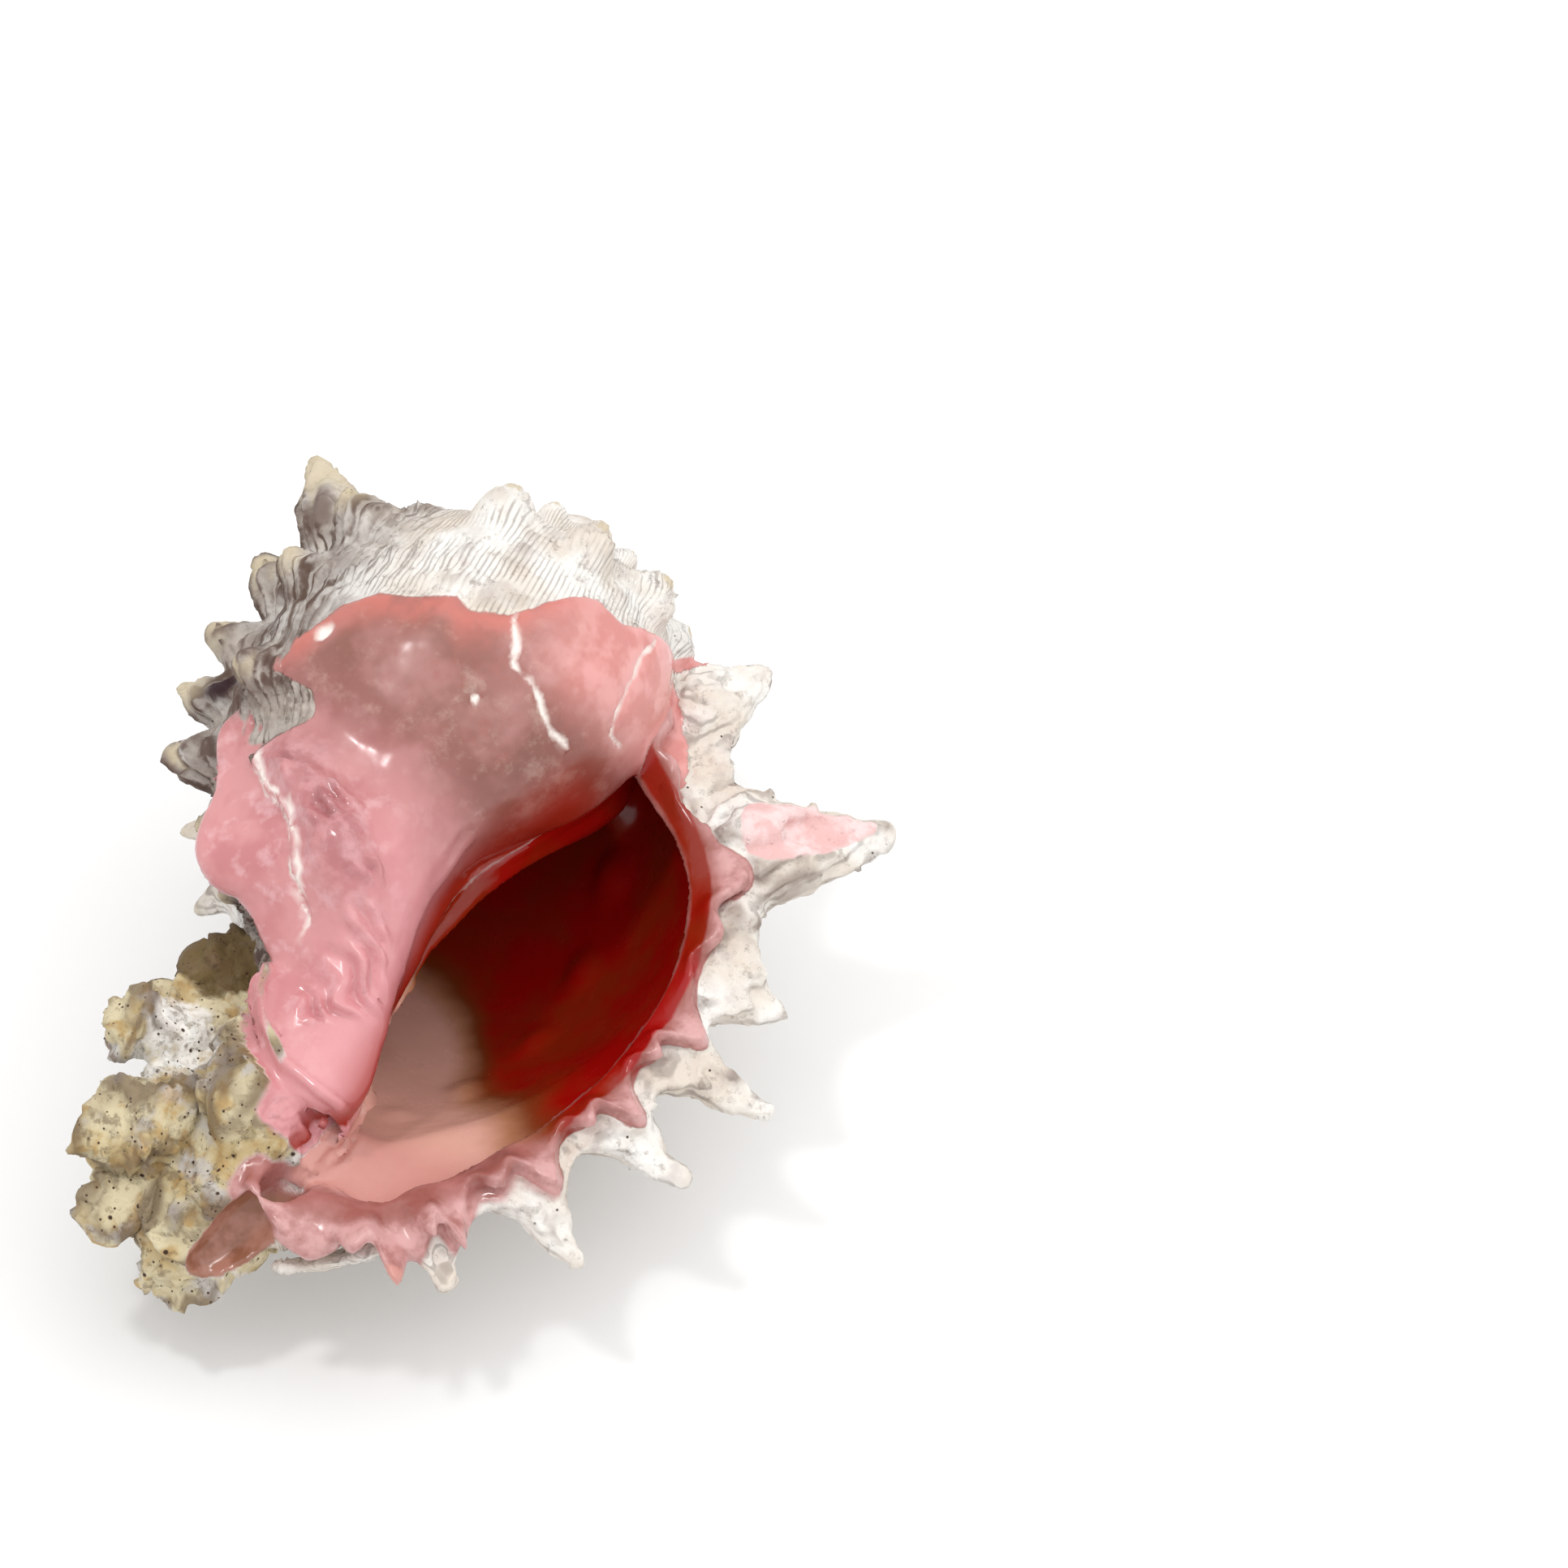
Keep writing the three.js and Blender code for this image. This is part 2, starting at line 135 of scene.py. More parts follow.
# Raised white growth lines on the callus, as growth angles and places
GROWTH_SEAMS = [
    [(-271, 0.48), (-275, 0.55), (-289, 0.6), (-298, 0.63), (-306, 0.64)],
    [(-314, 0.37), (-311, 0.48), (-317, 0.56), (-324, 0.57)],
]
BEADS = [(-218, 0.545, 1.1), (-269, 0.64, 0.7)]  # white patches on the callus, with their widths
WALL_SCALE = np.array([0.37, 58])  # millimetres along the wall for a degree of growth and for the outline
SPOT = (-28.2, 2, -42)  # a dark stain on the spines left of the mouth
WHITE_BLOCK = (-11.5, 1, -84)
# an old canal lobe that lies behind, where its shade is painted dark brown
SHADED_LOBE = (-12, 4, -71)
SHIELD_CREST = [(-19.3, -54.3), (-15.2, -58.5), (-12.2, -60.8), (-8.9, -65.5), (-5, -69.2)]  # x and z

# Spines, each as place along the outline, length, tilt towards the spire and width
NEXT_ROW = [
    (0.2, 12, 0.5, 5.5), (0.33, 8, 0.15, 4.5), (0.46, 6.3, 0, 4), (0.58, 4.2, 0, 3.6), (0.71, 3.6, -0.1, 3.4),
    (0.83, 3.5, -0.2, 3),
]
BACK_ROW = [
    (0.2, 15, 0.4, 6), (0.33, 16.4, 0.1, 5), (0.46, 11, 0, 4.5), (0.58, 8.8, 0, 4), (0.71, 5, -0.1, 3.6),
    (0.83, 3.5, -0.2, 3),
]
SIDE_ROW = [
    (0.23, 20, 0.22, 8), (0.35, 9, 0.1, 6.5), (0.45, 7, 0.1, 6.2), (0.53, 7.5, 0.1, 5.6), (0.62, 7, 0, 5.2),
    (0.72, 4, -0.1, 4.4), (0.83, 3, -0.2, 3.4),
]
FRONT_ROW = [(0.3, 6, 0.1, 6.6), (0.43, 5, 0, 5.5), (0.59, 5, 0, 5)]
LIP_ROW = [
    (0.13, 5, 0.1, 4.6), (0.315, 11.5, 0, 6.5), (0.465, 4.5, 0, 3.6), (0.55, 8.5, 0, 3.4),
    (0.645, 7.5, 0, 3.2), (0.75, 9, 0, 3.4), (0.84, 5, -0.1, 3.4), (0.94, 1.6, -0.4, 3.6),
]
RIBS = [(-40, NEXT_ROW), (-98, BACK_ROW), (-140, BACK_ROW), (-170, SIDE_ROW), (-203, FRONT_ROW)]
KNOB = (0.22, 3.4, 0.3, 8)
KNOB_START = -247
KNOB_END = -760
KNOB_GAP = 33

# The free edge of the shield and the line where it meets the pillar, from the spire side down
EDGE = [
    (-21, -10, -46), (-24, -8, -51), (-21.8, -9, -58), (-19.5, -9, -66), (-16.7, -8, -68.2),
    (-13, -8, -68.9), (-9, -7, -71.6), (-6.6, -6, -73.6), (-8.2, -6, -75.5), (-8.2, -6, -77.6),
    (-6, -6, -81.5), (-1.2, -7, -85.8), (4.3, -7, -87.5), (7.6, -6, -88),
]
LOBE_EDGE = np.array(EDGE)[8:, [0, 2]]  # the part of that edge round the lobe, as x and z
INNER = [(6, -9, -46), (5, -9, -57), (6.3, -7, -70), (8.2, -6, -78), (9, -6, -83), (8.5, -5, -88)]

# Horns that taper through points, each with its radii and how thin it is from front to back: the pillar, the
# canal, the trough cut in it, the ends of older canals left of it and the flat blade under the lip
PILLAR = ([(0, 0, z) for z in (-4, -20, -45, -65, -77, -88)], [3, 6, 7, 7, 7.5, 6], 1)
CANAL = ([(3, 0, -80), (1.5, 3, -90), (0, 6, -98.5), (-3.2, 11, -105.5)], [5, 7, 7.6, 7.2, 5.2, 2], 0.85)
TROUGH = (
    [(9, -6, -88), (6.4, -2.5, -93.2), (4.8, 0, -97.6), (3.2, 2.4, -101), (1.6, 4.4, -103.6)],
    [2.4, 1.4, 2.6, 3.2, 1.8],
    1,
)
OLD_CANALS = [
    ([(1, 4, -78), (-7, 5, -88), (-14, 1.5, -97)], [5, 7, 6, 3], 0.7),
    ([(0, 5, -84), (-6, 7, -94), (-10.5, 6, -101.5)], [5, 7, 6, 3], 0.7),
    ([(0, 4, -72), (-9, 5, -79.5), (-17, 2, -84.5)], [5, 6.5, 5.5, 3.2], 0.7),
    ([(0, 4, -66), (-7, 5, -70), (-12.5, 3, -73)], [5, 6, 4.5, 2.6], 0.7),
]
BLADE = ([(18, 1.5, -94), (13, 2.2, -98.5), (8.8, 2.4, -101.6)], [2.4, 2.2, 1], 0.45)
BLADE_SIDE = np.array([-0.4, -0.5, 0.6])  # the way the blade is thin

# Lamps, each as place, size and power, and the camera, in metres
LAMPS = {"key": ((0.2, -0.06, 0.45), 0.7, 1.2), "spark": ((-0.12, -0.1, 0.5), 0.05, 0.45)}
AIM = Vector((0, 0, 0.03))  # where the lamps point
SKY = 0.9  # strength of the white light from all round
CAMERA_PLACE = (0.0316, -0.3092, 0.3216)
CAMERA_TILT = 48  # degrees up from straight down
CAMERA_LENS = 86.96
FLOOR_SIZE = 3


# ---- curves and ramps ----
def smooth(x, low, high):
    """0 below low, 1 above high, and a smooth ramp between them."""
    t = np.clip((np.asarray(x, float) - low) / (high - low), 0, 1)
    return t * t * (3 - 2 * t)


def band(x, rise, fall):
    """1 between two ramps, each given as a pair of values."""
    return smooth(x, *rise) * (1 - smooth(x, *fall))


def mix(a, b, t):
    return a + (b - a) * t


def spline(points, closed=False):
    """A centripetal Catmull-Rom curve through points, as a function of places from 0 to 1."""
    points = np.asarray(points, float)
    if closed:
        padded = np.concatenate([points[-1:], points, points[:2]])
        spans = len(points)
    else:
        padded = np.concatenate([2 * points[:1] - points[1:2], points, 2 * points[-1:] - points[-2:-1]])
        spans = len(points) - 1

    def curve(places):
        at = np.atleast_1d(np.asarray(places, float)) * spans
        span = np.clip(np.floor(at).astype(int), 0, spans - 1)
        t = (at - span)[:, None]
        p0, p1, p2, p3 = (padded[span + i] for i in range(4))
        gap0, gap1, gap2 = (
            np.linalg.norm(b - a, axis=1, keepdims=True) ** 0.5 for a, b in ((p0, p1), (p1, p2), (p2, p3))
        )
        leave = gap1 * ((p1 - p0) / gap0 - (p2 - p0) / (gap0 + gap1) + (p2 - p1) / gap1)
        arrive = gap1 * ((p2 - p1) / gap1 - (p3 - p1) / (gap1 + gap2) + (p3 - p2) / gap2)
        cubic = 2 * (p1 - p2) + leave + arrive
        square = 3 * (p2 - p1) - 2 * leave - arrive
        return ((cubic * t + square) * t + leave) * t + p1

    return curve


def scale_at(angle):
    return EXPANSION ** (np.asarray(angle, float) / 360)


def on_whorl(angle, r, z):
    s = scale_at(angle)
    turn = np.radians(angle)
    return np.stack(np.broadcast_arrays(s * r * np.cos(turn), -s * r * np.sin(turn), s * z), -1)


outline = spline(OUTLINE)
rim = spline(RIM)
hollow = spline(HOLLOW, closed=True)
mouth = spline(MOUTH, closed=True)
lip_edge = spline(LIP_EDGE)


def rib(angle):
    """How far a rib lifts the wall at a growth angle."""
    lifts = [smooth(angle, at - RIB_RISE, at) * (1 - smooth(angle, at + 1, at + RIB_FALL)) for at, _ in RIBS]
    return np.max(lifts, axis=0) * RIB_HEIGHT


def glazed(angle, place):
    """Where the callus covers the wall, from 0 to 1: left of the mouth, below a line under the shoulder."""
    top = np.interp(angle, *zip(*CALLUS_TOP))
    side = np.interp(place, *zip(*CALLUS_SIDE))
    covered = smooth(place, top - 0.008, top + 0.008) * (1 - smooth(angle, side - 1.5, side + 1.5))
    return covered * smooth(angle, CALLUS_START, CALLUS_START + 6)


def beat(place):
    """Counts the spines of the lip along the rim: a whole number at each spine."""
    return np.interp(place, [spine[0] for spine in LIP_ROW], np.arange(len(LIP_ROW)))


def outer(angle, places):
    """The outside of the wall at a growth angle, as distances from the axis and heights."""
    p = outline(places)
    away = p - HEART
    away /= np.linalg.norm(away, axis=1, keepdims=True)
    lift = rib(angle) + GLAZE * glazed(angle, places)
    frill = FRILL * 0.5 * (np.cos(2 * math.pi * beat(places)) - 1)
    opening = smooth(angle, LIP - FLARE, LIP)
    return mix(p + away * lift[:, None], rim(places) + away * frill[:, None], opening)


# ---- distance fields ----
def mesh_field(rings):
    """The distance field of the solid lofted through closed rings of points."""
    count, size = rings.shape[:2]
    ids = np.arange(count * size).reshape(count, size)
    after = np.roll(ids, -1, axis=1)
    quads = np.stack([ids[:-1], after[:-1], after[1:], ids[1:]], -1).reshape(-1, 4)
    ends = [(ids[0], count * size), (ids[-1], count * size + 1)]
    caps = [np.stack([ring, np.roll(ring, -1), np.full(size, centre)], -1) for ring, centre in ends]
    points = np.concatenate([rings.reshape(-1, 3), rings[:1].mean(1), rings[-1:].mean(1)])
    grid = vdb.FloatGrid.createLevelSetFromPolygons(
        points.astype(np.float32),
        triangles=np.concatenate(caps).astype(np.uint32),
        quads=quads.astype(np.uint32),
        transform=vdb.createLinearTransform(voxelSize=VOXEL),
        halfWidth=BAND / VOXEL,
    )
    field = np.empty(SHAPE, np.float32)
    grid.copyToArray(field, ijk=tuple(int(i) for i in CORNER))
    return np.clip(field, -BAND, BAND)


def joined(a, b, blend):
    """The field of two solids together, with a fillet of about blend between them."""
    h = np.maximum(blend - np.abs(a - b), 0) / blend
    return np.minimum(a, b) - h * h * blend / 4


def cut(a, b, blend):
    return -joined(-a, b, blend)


def whorl_field(start, stop):
    places = np.linspace(0, 1, 90)
    rings = []
    for angle in np.linspace(start, stop, int((stop - start) / 2) + 1):
        wall = outer(angle, places)
        s = scale_at(angle)
        core = [(CORE_RADIUS / s, wall[-1, 1] / s), (CORE_RADIUS / s, wall[0, 1] / s)]
        section = np.concatenate([wall, core])
        rings.append(on_whorl(angle, section[:, 0], section[:, 1]))
    return mesh_field(np.array(rings))


def hollow_field():
    places = np.linspace(0, 1, 90, endpoint=False)
    rings = []
    for angle in np.linspace(HOLLOW_START, LIP + 1, 152):
        section = mix(hollow(places), mouth(places), smooth(angle, LIP - FLARE, LIP))
        rings.append(on_whorl(angle, section[:, 0], section[:, 1]))
    return mesh_field(np.array(rings))


class Horn:
    """A tapering horn through points, with an oval section that is thinner along the side direction."""

    def __init__(self, points, radii, side, flat):
        steps = 14
        line = spline(points)(np.linspace(0, 1, steps))
        share = np.concatenate([[0], np.cumsum(np.linalg.norm(np.diff(line, axis=0), axis=1))])
        share /= share[-1]
        radius = np.interp(share, np.linspace(0, 1, len(radii)), radii)
        margin = radius.max() + BAND
        low = np.floor((line.min(0) - margin) / VOXEL).astype(int) - CORNER
        high = np.ceil((line.max(0) + margin) / VOXEL).astype(int) - CORNER
        low = np.clip(low, 0, SHAPE)
        high = np.clip(high, 0, SHAPE)
        self.window = tuple(slice(a, b) for a, b in zip(low, high))
        axes = [(np.arange(a, b) + c) * VOXEL for a, b, c in zip(low, high, CORNER)]
        p = np.stack(np.meshgrid(*axes, indexing="ij"), -1).astype(np.float32)
        self.distance = np.full(p.shape[:3], BAND, np.float32)
        self.share = np.zeros(p.shape[:3], np.float32)
        for i in range(steps - 1):
            along = line[i + 1] - line[i]
            length = np.linalg.norm(along)
            along /= length
            across = side - side.dot(along) * along
            across /= np.linalg.norm(across)
            off = p - line[i]
            w = np.clip(off @ along / length, 0, 1)
            off -= w[..., None] * (along * length)
            u = off @ across
            squared = np.einsum("...i,...i", off, off) + u * u * (1 / flat**2 - 1)
            d = np.sqrt(squared) - mix(radius[i], radius[i + 1], w)
            nearer = d < self.distance
            self.distance = np.where(nearer, d, self.distance).astype(np.float32)
            self.share = np.where(nearer, mix(share[i], share[i + 1], w), self.share).astype(np.float32)
        self.distance = np.clip(self.distance, -BAND, BAND)

    def join(self, field, blend):
        field[self.window] = joined(field[self.window], self.distance, blend)

    def cut(self, field, blend):
        field[self.window] = cut(field[self.window], self.distance, blend)


def spine_path(angle, spine):
    """Where a spine stands: a function from lift above the wall to a point, and the growth direction."""
    place, length, tilt, width = spine
    here, ahead, behind = outer(angle, np.array([place, place + 0.01, place - 0.01]))
    out = np.array([behind[1] - ahead[1], ahead[0] - behind[0]])
    out /= np.linalg.norm(out)
    aim = out + (0, tilt)
    aim /= np.linalg.norm(aim)
    growth = np.array([-math.sin(math.radians(angle)), -math.cos(math.radians(angle)), 0])

    def point(lift, bend=0.0, forward=0.0):
        r, z = here + aim * lift
        return on_whorl(angle, r, z + bend) + growth * forward

    return point, growth


def add_spine(body, tips, angle, spine, trenched, blunt=0.26):
    """Adds a spine to the body, and to tips: the field of all spines and how near each point is to a tip."""
    _, length, _, width = spine
    s = float(scale_at(angle))
    point, growth = spine_path(angle, spine)
    path = [point(-SPINE_ROOT), point(length * 0.45), point(length - 0.6, length * SPINE_BEND)]
    tip = max(1.1 * s, width * s * blunt)
    horn = Horn(path, [width * s, width * s * 0.8, width * s * 0.58, tip], growth, SPINE_FLAT)
    near = horn.distance < tips[0][horn.window]
    for kept, new in zip(tips, (horn.distance, horn.share)):
        kept[horn.window] = np.where(near, new, kept[horn.window])
    horn.join(body, 2.2 * s)
    if trenched:
        bed = width * s * 0.42
        trench = [
            point(length * 0.1, 0, bed * 1.5),
            point(length * 0.6, length * 0.04, bed * 1.35),
            point(length + 0.5, length * 0.09, bed * 1.0),
        ]
        Horn(trench, [bed * 0.7, bed, bed * 0.8, 0.6], growth, 0.9).cut(body, 0.5)


def margin_field():
    """The crenulated margin of the outer lip: a thin sheet flaring out of the mouth, widest by the canal."""
    t = np.linspace(0, 1, 440)
    p = lip_edge(t)
    ahead = np.gradient(p, axis=0)
    outward = np.stack([-ahead[:, 1], ahead[:, 0]], -1)
    outward /= np.linalg.norm(outward, axis=1, keepdims=True)
    skirt = smooth(t, SKIRT_START, SKIRT_FULL) * (1 - smooth(t, SKIRT_FADE, 1))
    width = MARGIN_WIDTH * mix(1, SKIRT_REACH, skirt) * (1 - 0.3 * smooth(t, 0.95, 1))
    turn = 2 * math.pi * beat(mix(*MARGIN_ENDS, t))
    ripple = sum(high * np.cos(many * turn + shift) for high, many, shift in RIPPLES)
    calm = 1 - 0.75 * smooth(t, SKIRT_FADE - 0.02, 0.93)
    wave = MARGIN_WAVE * mix(0.7, 1.0, smooth(t, 0, 0.5)) * calm
    fold = FOLD * mix(1, SKIRT_REACH, skirt) * np.sin(turn)
    u = np.linspace(0, 1, 9)[:, None]
    out = mix(-MARGIN_INSET, width, u) + wave * ripple * u**1.5
    rise = MARGIN_DEPTH * mix(-0.05, MARGIN_LIFT, np.sin(u * math.pi / 2)) + fold * u
    slope_out, slope_rise = np.gradient(out, axis=0), np.gradient(rise, axis=0)
    slope = np.hypot(slope_out, slope_rise)
    half = MARGIN_THICK / 2
    forward = np.array([-math.sin(math.radians(LIP)), -math.cos(math.radians(LIP)), 0])
    sides = []
    for way in (1, -1):
        q_out = out - way * half * slope_rise / slope
        q_rise = rise + way * half * slope_out / slope
        q = p + outward * q_out[..., None]
        side = on_whorl(LIP, q[..., 0], q[..., 1]) + forward * q_rise[..., None]
        sides.append(side[::way])
    return mesh_field(np.concatenate(sides).transpose(1, 0, 2))


def shield_field():
    """The shield: a sheet from the pillar to its free edge that bulges to the front."""
    edge = spline(EDGE)
    inner = spline(INNER)
    w = np.linspace(0, 1, 24)[:, None]
    rings = []
    for t in np.linspace(0, 1, 120):
        bulge = mix(*SHIELD_BULGE, smooth(t, 0, 0.2)) * mix(1, 0.2, smooth(t, 0.1, 0.7))
        face = mix(inner(t), edge(t), w) + FRONT * bulge * np.sin(math.pi * 1.15 * w**0.75)
        back = face - FRONT * SHIELD_THICK * mix(SHIELD_BACK, 1, w)
        rings.append(np.concatenate([face, back[::-1]]))
    return mesh_field(np.array(rings))


def empty_field():
    return np.full(SHAPE, BAND, np.float32)


def add_spines(body):
    """Adds every spine and knob to the body. Returns their field, and how near each point is to a tip."""
    tips = [empty_field(), np.zeros(SHAPE, np.float32)]
    for angle, row in RIBS:
        for spine in row:
            add_spine(body, tips, angle, spine, trenched=spine[1] > TRENCHED)
    for angle in range(KNOB_START, KNOB_END, -KNOB_GAP):
        add_spine(body, tips, angle, KNOB, trenched=False, blunt=0.4)
    for spine in LIP_ROW:
        add_spine(body, tips, LIP - 3, spine, trenched=True)
    return tips


def groove_field():
    """The pink bed of the groove down the longest spine of the lip."""
    point, growth = spine_path(LIP - 3, LIP_ROW[1])
    field = empty_field()
    Horn([point(-1, 0, 3.5), point(9, 1.5, 3.2)], [3.4, 2.6, 1.2], growth, 1).join(field, 0.1)
    return field


def horns_field(horns, blend):
    field = empty_field()
    for points, radii, flat in horns:
        Horn(points, radii, FRONT, flat).join(field, blend)
    return field


def build_fields():
    """The fields of the whole body and of the parts that differ in looks."""
    parts = {
        "hollow": hollow_field(),
        "groove": groove_field(),
        "margin": margin_field(),
        "canal": horns_field([CANAL, *OLD_CANALS], 1),
        "shield": shield_field(),
        "trough": horns_field([TROUGH], 0.1),
    }
    body = whorl_field(-300, LIP)
    for start, stop in ((-600, -290), (-900, -590), (-TURNS * 360, -890)):
        body = np.minimum(body, whorl_field(start, stop))
    points, radii, flat = PILLAR
    Horn(points, radii, FRONT, flat).join(body, 1)
    body = cut(body, parts["hollow"], 1.0)
    parts["spines"], parts["tips"] = add_spines(body)
    body = joined(body, parts["margin"], 1.6)
    points, radii, flat = BLADE
    Horn(points, radii, BLADE_SIDE, flat).join(body, 1)
    body = joined(body, parts["canal"], 1.5)
    height = (np.arange(SHAPE[2]) + CORNER[2]) * VOXEL
    body = joined(body, parts["shield"], mix(4, 1, smooth(-height, 50, 62)).astype(np.float32))
    body = cut(body, parts["trough"], 0.8)
    return body, parts


def sample(field, points):
    """A field's values at points, straight between its voxels."""
    q = points / VOXEL - CORNER
    i = np.clip(np.floor(q).astype(int), 0, np.array(SHAPE) - 2)
    f = np.clip(q - i, 0, 1)
    total = 0
    for corner in itertools.product((0, 1), repeat=3):
        c = np.array(corner)
        w = np.prod(np.where(c == 1, f, 1 - f), axis=1)
        total = total + w * field[tuple((i + c).T)]
    return total


def mesh_of(body):
    grid = vdb.FloatGrid(BAND)
    grid.transform = vdb.createLinearTransform(voxelSize=VOXEL)
    grid.copyFromArray(body, ijk=tuple(int(i) for i in CORNER), tolerance=0)
    points, quads = grid.convertToQuads(0)
    mesh = bpy.data.meshes.new("shell_surface")
    mesh.vertices.add(len(points))
    mesh.vertices.foreach_set("co", points.astype(np.float32).ravel())
    mesh.loops.add(quads.size)
    mesh.loops.foreach_set("vertex_index", quads[:, ::-1].astype(np.int32).ravel())
    mesh.polygons.add(len(quads))
    mesh.polygons.foreach_set("loop_start", np.arange(0, quads.size, 4, dtype=np.int32))
    mesh.update(calc_edges=True)
    return mesh


def points_of(mesh):
    co = np.empty(len(mesh.vertices) * 3, np.float32)
    mesh.vertices.foreach_get("co", co)
    return co.reshape(-1, 3).astype(float)


def normals_of(mesh):
    normal = np.empty(len(mesh.vertices) * 3, np.float32)
    mesh.vertex_normals.foreach_get("vector", normal)
    return normal.reshape(-1, 3).astype(float)


# ---- relief ----
def noise(p, size, seed=0):
    """Smooth noise from -1 to 1, with lumps about size millimetres across."""
    q = p / size + seed * 17.3
    cell = np.floor(q).astype(np.int64)
    f = q - cell
    f = f * f * (3 - 2 * f)
    total = 0
    for corner in itertools.product((0, 1), repeat=3):
        c = np.array(corner)
        total = total + np.prod(np.where(c == 1, f, 1 - f), axis=1) * hashed(cell + c, seed)
    return 2 * total - 1


def hashed(cell, seed):
    """A fixed random number from 0 to 1 for each cell of a lattice."""
    x, y, z = np.moveaxis(cell, -1, 0)
    mixed = x * 73856093 ^ y * 19349663 ^ z * 83492791 ^ (seed * 2654435 + 97)
    mixed = (mixed ^ (mixed >> 13)) * 1274126177 & 0x7FFFFFFF
    mixed = (mixed ^ (mixed >> 15)) * 668265263 & 0x7FFFFFFF
    return ((mixed >> 7) & 0xFFFF) / 0xFFFF


def rough(p, size, seed=0, octaves=3):
    return sum(noise(p, size / 2**i, seed + i) / 2**i for i in range(octaves)) / 1.75


def pits(p, size, radius, share, seed):
    """How deep each point is in a scatter of round pits, from 0 to 1: one pit at most in each cell."""
    q = p / size
    cell = np.floor(q).astype(np.int64)
    depth = np.zeros(len(p))
    for corner in itertools.product((-1, 0, 1), repeat=3):
        c = cell + np.array(corner)
        centre = c + np.stack([hashed(c, seed + i) for i in range(3)], -1)
        width = radius * mix(0.6, 1.3, hashed(c, seed + 3)) / size
        here = 1 - smooth(np.linalg.norm(q - centre, axis=1), width * 0.5, width)
        depth = np.maximum(depth, here * (hashed(c, seed + 4) < share))
    return depth


def outline_place(p, angle):
    """The place along the outline beside each point, and its distance from the wall of that growth angle."""
    places = np.linspace(0, 1, 300)
    line = outline(places) - HEART
    turns = np.degrees(np.arctan2(line[:, 1], line[:, 0]))[::-1]
    radii = np.linalg.norm(line, axis=1)[::-1]
    s = scale_at(angle)
    u = np.hypot(p[:, 0], p[:, 1]) / s - HEART[0]
    v = p[:, 2] / s - HEART[1]
    phi = np.degrees(np.arctan2(v, u))
    return np.interp(phi, turns, places[::-1]), s * np.abs(np.hypot(u, v) - np.interp(phi, turns, radii))


def wall_place(p):
    """The growth angle and the place along the outline of the whorl wall nearest to each point."""
    azimuth = np.degrees(np.arctan2(-p[:, 1], p[:, 0]))
    best = np.full(len(p), np.inf)
    angle = np.zeros(len(p))
    place = np.zeros(len(p))
    for turn in range(4):
        a = azimuth - 360 * turn
        here, off = outline_place(p, a)
        nearer = (off < best) & (a < LIP + 15)
        best = np.where(nearer, off, best)
        angle = np.where(nearer, a, angle)
        place = np.where(nearer, here, place)
    return angle, place


def path_distance(points, path):
    """How far points are from a path of straight stretches, in any number of dimensions."""
    path = np.asarray(path, float)
    nearest = np.full(len(points), np.inf)
    for a, b in zip(path[:-1], path[1:]):
        along = b - a
        share = np.clip((points - a) @ along / along.dot(along), 0, 1)
        nearest = np.minimum(nearest, np.linalg.norm(points - a - share[:, None] * along, axis=1))
    return nearest


def inside_depth(p):
    """How deep in the mouth each point of its wall is, from 0 to 1: the pale outer part is 0."""
    azimuth = np.degrees(np.arctan2(-p[:, 1], p[:, 0]))
    radius = np.hypot(p[:, 0], p[:, 1])
    angle = np.where(azimuth < 60, azimuth, azimuth - 360)
    place, _ = outline_place(p, angle)
    border = mix(0.7, 0.52, smooth(-angle, 30, 75))
    by_pillar = (1 - smooth(radius, 7, 14)) * smooth(-p[:, 2], 60, 70)
    upper = (1 - smooth(place, border - 0.08, border + 0.14)) * (1 - by_pillar)
    behind = (1 - smooth(radius, 14, 24)) * (1 - smooth(-p[:, 2], 60, 72))
    return np.maximum(upper, behind)


def white_marks(p, angle, place, callus):
    """Where the white growth lines and patches of the callus are, and the white crest of the shield."""
    on_wall = np.stack([angle, place], -1) * WALL_SCALE
    on_wall += np.stack([0.7 * noise(p, 3.5, 87), 0.9 * noise(p, 4, 85)], -1)
    ragged = 0.2 * noise(p, 1.2, 71)
    lines = [path_distance(on_wall, np.array(path) * WALL_SCALE) + 1.2 * ragged for path in GROWTH_SEAMS]
    marks = [1 - smooth(off, 0.0, 0.36) for off in lines]
    for mark_angle, mark_place, size in BEADS:
        off = np.linalg.norm(on_wall - (mark_angle, mark_place) * WALL_SCALE, axis=1) + ragged
        marks.append(1 - smooth(off, size / 2, size))
    crest = 1 - smooth(np.abs(crest_side(p)) + ragged, 0.05, 0.4)
    marks.append(crest * callus * band(-p[:, 2], (51, 53), (69, 72)))
    return np.max(marks, axis=0)


